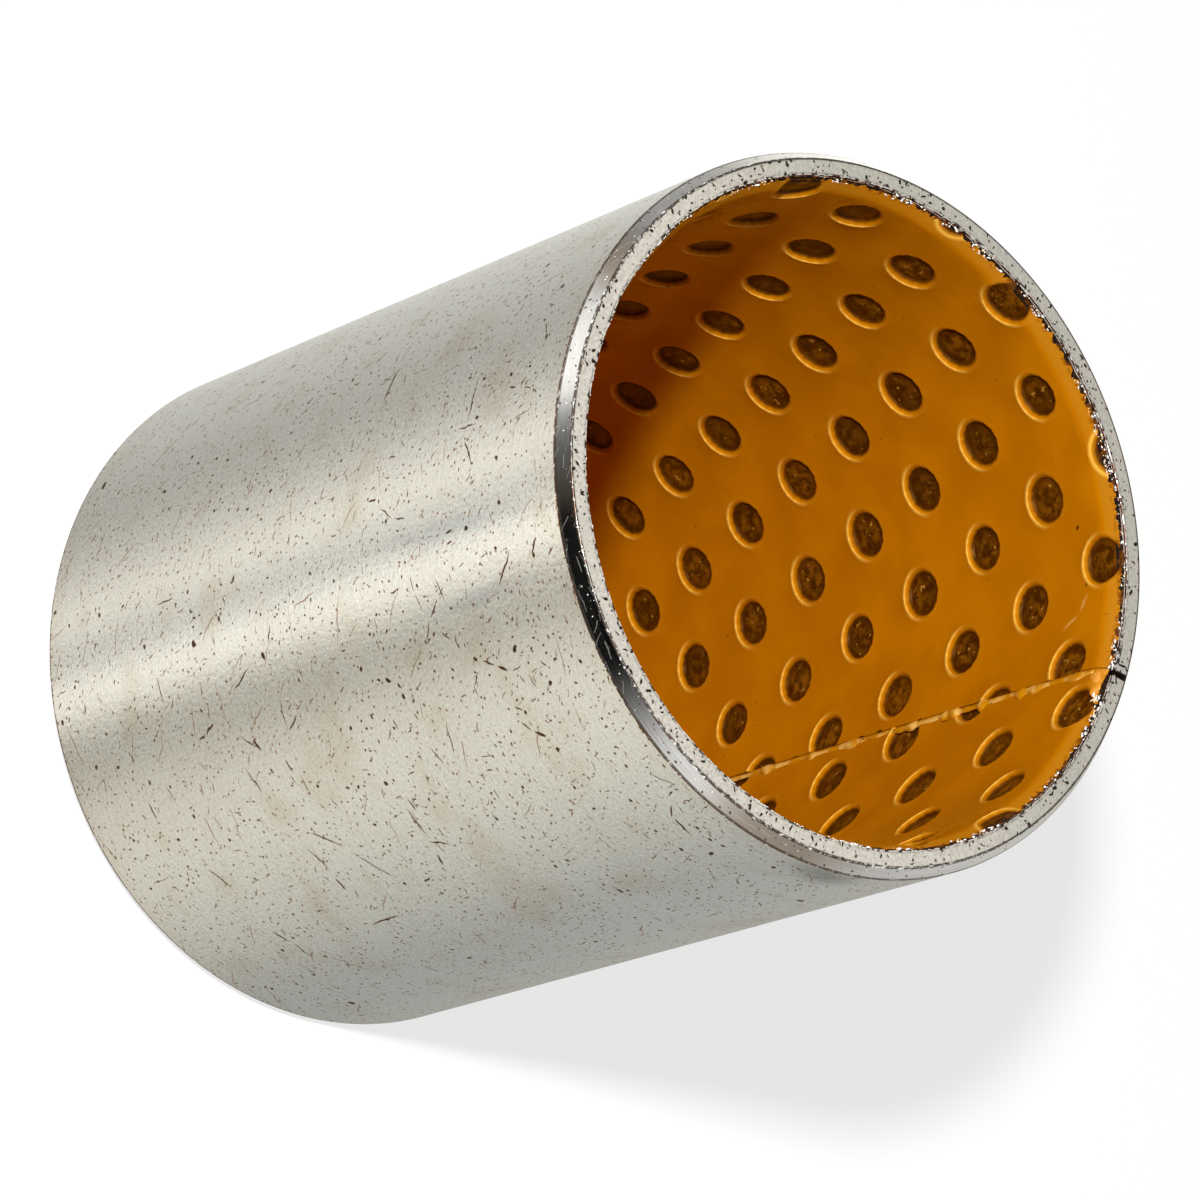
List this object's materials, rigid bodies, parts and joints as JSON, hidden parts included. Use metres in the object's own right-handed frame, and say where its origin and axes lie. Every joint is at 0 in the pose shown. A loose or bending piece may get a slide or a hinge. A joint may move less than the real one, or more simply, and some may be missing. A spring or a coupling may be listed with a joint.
{
  "type": "polymer lined split bushing",
  "caption": "Rolled split sleeve bushing: a plated steel shell with a bronze interlayer and a polymer lining covered in grease indents, chamfered at both ends.",
  "frame": {"origin": "centre of the lower end face, on the bore's axis", "axes": "+Z along the bore axis, up from the end it stands on; +Y towards the seam"},
  "size_m": [0.039, 0.039, 0.05],
  "materials": {
    "tinned_steel": "satin, lightly pitted and scratched",
    "sintered_bronze": "porous, matt",
    "amber_polymer": "semi-gloss, slightly translucent"
  },
  "bodies": {
    "root": {"steel_backing": "tinned_steel", "bronze_layer": "sintered_bronze", "polymer_lining": "amber_polymer"}
  },
  "joints": []
}
